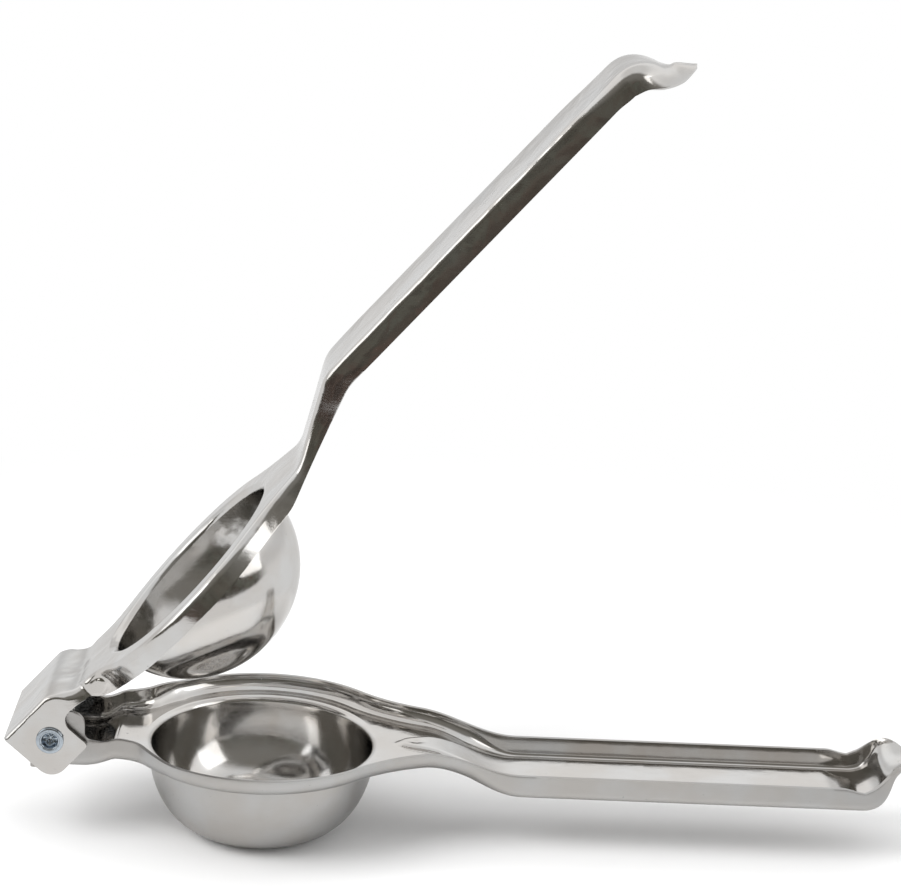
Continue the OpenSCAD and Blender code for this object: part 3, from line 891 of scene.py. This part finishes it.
def floor_material(colour):
    """Pale floor that keeps the shadow and runs out into plain white away from the squeezer."""
    material, tree = new_material("pale_floor")
    where = tree.value(tree.add("ShaderNodeTexCoord"), "Object")
    cloud = noise(tree, where, 3.0, 3.0)
    tone = blend_colour(tree, cloud, (*colour, 1), (*[min(c * 1.015, 1) for c in colour], 1))
    shader = tree.add("ShaderNodeBsdfPrincipled", Base_Color=tone, Roughness=0.7)
    white = tree.add("ShaderNodeEmission", Color=(1, 1, 1, 1), Strength=1.0)
    away = tree.value(tree.add("ShaderNodeVectorMath", {"operation": "DISTANCE"}, i0=where, i1=(0.05, 0.01, 0.0)),
                      "Value")
    rays = tree.add("ShaderNodeLightPath")
    mirrored = tree.value(rays, "Is Glossy Ray") + tree.value(rays, "Is Transmission Ray")
    plain = away.range(0.16, 0.34) * tree.value(rays, "Is Camera Ray") + away.range(0.09, 0.13) * mirrored
    both = tree.add("ShaderNodeMixShader", i0=plain, i1=shader.outputs[0], i2=white.outputs[0])
    tree.add("ShaderNodeOutputMaterial", Surface=both.outputs[0])
    return material


def room(dark):
    """White behind and above, a dark room in front of the table."""
    world = bpy.data.worlds.new("studio")
    world.use_nodes = True
    world.node_tree.nodes.clear()
    tree = Tree(world.node_tree)
    toward = tree.value(tree.add("ShaderNodeTexCoord"), "Generated")
    way = tree.add("ShaderNodeSeparateXYZ", Vector=toward)
    y, z = tree.value(way, "Y"), tree.value(way, "Z")
    blotch = noise(tree, toward, 8.0, 3.0, 0.6)
    murk = blend_colour(tree, blotch.range(0.40, 0.66), (*dark, 1),
                        (dark[0] * 3.4, dark[1] * 2.9, dark[2] * 2.7, 1))
    patch = noise(tree, toward, 14.0, 2.0, 0.5)
    murk = blend_colour(tree, z.range(-0.30, -0.02) * patch.range(0.38, 0.58), murk, (0.15, 0.155, 0.13, 1))
    murk = blend_colour(tree, z.range(0.04, 0.62), murk, (0.25, 0.24, 0.22, 1))
    front = (y * -1.0 - z * 0.35).range(-0.05, 0.30)
    pale = blend_colour(tree, z.range(0.0, 0.14), (1, 1, 1, 1), (0.84, 0.84, 0.84, 1))
    pale = blend_colour(tree, z.range(0.22, 0.42), pale, (1.2, 1.2, 1.2, 1))
    pale = blend_colour(tree, z.range(0.60, 0.90), pale, (0.92, 0.92, 0.92, 1))
    tone = blend_colour(tree, front, pale, murk)
    rays = tree.add("ShaderNodeLightPath")
    tone = blend_colour(tree, tree.value(rays, "Is Diffuse Ray"), tone, (0.52, 0.52, 0.52, 1))
    seen = blend_colour(tree, tree.value(rays, "Is Camera Ray"), tone, (1, 1, 1, 1))
    back = tree.add("ShaderNodeBackground", Color=seen, Strength=1.0)
    tree.add("ShaderNodeOutputWorld", Surface=back.outputs[0])
    bpy.context.scene.world = world


class SQUEEZER_OT_stage(bpy.types.Operator):
    """Pale floor, soft lamps, white background and the camera"""
    bl_idname = "squeezer.stage"
    bl_label = "Stage"

    def execute(self, context):
        look = context.scene.squeezer_stage
        mesh = bpy.data.meshes.new("table_top")
        x0, x1, y0, y1 = -1.6, 1.8, -0.24, 2.6
        mesh.from_pydata([(x0, y0, 0), (x1, y0, 0), (x1, y1, 0), (x0, y1, 0)], [], [(0, 1, 2, 3)])
        mesh.materials.append(floor_material(look.floor))
        table = bpy.data.objects.new("table_top", mesh)
        context.scene.collection.objects.link(table)
        room(look.dark)
        key = area_lamp("key_lamp", look.key, (0.7, 0.7), (-0.80, -0.50, 0.95), (0.04, 0.0, 0.0))
        top = area_lamp("top_lamp", look.key * 0.5, (1.5, 1.2), (0.05, 0.0, 0.90), (0.05, 0.0, 0.0))
        key.visible_glossy = top.visible_glossy = False
        area_lamp("left_lamp", look.fill, (0.5, 0.6), (-0.75, -0.35, 0.45), (0.0, 0.0, 0.08))
        area_lamp("right_lamp", look.fill, (0.5, 0.6), (0.85, -0.35, 0.45), (0.05, 0.0, 0.08))
        data = bpy.data.cameras.new("camera")
        data.sensor_fit, data.sensor_width, data.lens = "HORIZONTAL", 36.0, 95.7
        data.clip_start, data.clip_end = 0.01, 20.0
        camera = bpy.data.objects.new("camera", data)
        right, up = Vector((0.99798, -0.02959, 0.05619)), Vector((-0.04583, 0.27671, 0.95986))
        back = right.cross(up)
        turn = Matrix((right, up, back)).transposed().to_4x4()
        camera.matrix_world = Matrix.Translation((0.01738, -0.56073, 0.26218)) @ turn
        context.scene.collection.objects.link(camera)
        context.scene.camera = camera
        context.scene.view_settings.view_transform = "Standard"
        return {"FINISHED"}


# ---------------------------------------------------------------- panel and registration

OPERATORS = (SQUEEZER_OT_lower_arm, SQUEEZER_OT_upper_arm, SQUEEZER_OT_rivets, SQUEEZER_OT_stage)


class SQUEEZER_PT_sidebar(bpy.types.Panel):
    """Sizes, finishes and pieces of the squeezer"""
    bl_idname = "SQUEEZER_PT_sidebar"
    bl_label = "Citrus squeezer"
    bl_space_type = "VIEW_3D"
    bl_region_type = "UI"
    bl_category = "Squeezer"

    def draw(self, context):
        for key, group in GROUPS.items():
            box = self.layout.box()
            for name in group.__annotations__:
                box.prop(getattr(context.scene, "squeezer_" + key), name)
        for operator in OPERATORS:
            self.layout.operator(operator.bl_idname)


CLASSES = (*GROUPS.values(), *OPERATORS, SQUEEZER_PT_sidebar)


def register():
    for cls in CLASSES:
        bpy.utils.register_class(cls)
    for key, group in GROUPS.items():
        setattr(bpy.types.Scene, "squeezer_" + key, bpy.props.PointerProperty(type=group))


def unregister():
    for key in GROUPS:
        delattr(bpy.types.Scene, "squeezer_" + key)
    for cls in reversed(CLASSES):
        bpy.utils.unregister_class(cls)


def main():
    register()
    bpy.ops.squeezer.lower_arm()
    bpy.ops.squeezer.upper_arm()
    bpy.ops.squeezer.rivets()
    bpy.ops.squeezer.stage()


if __name__ == "__main__":
    main()
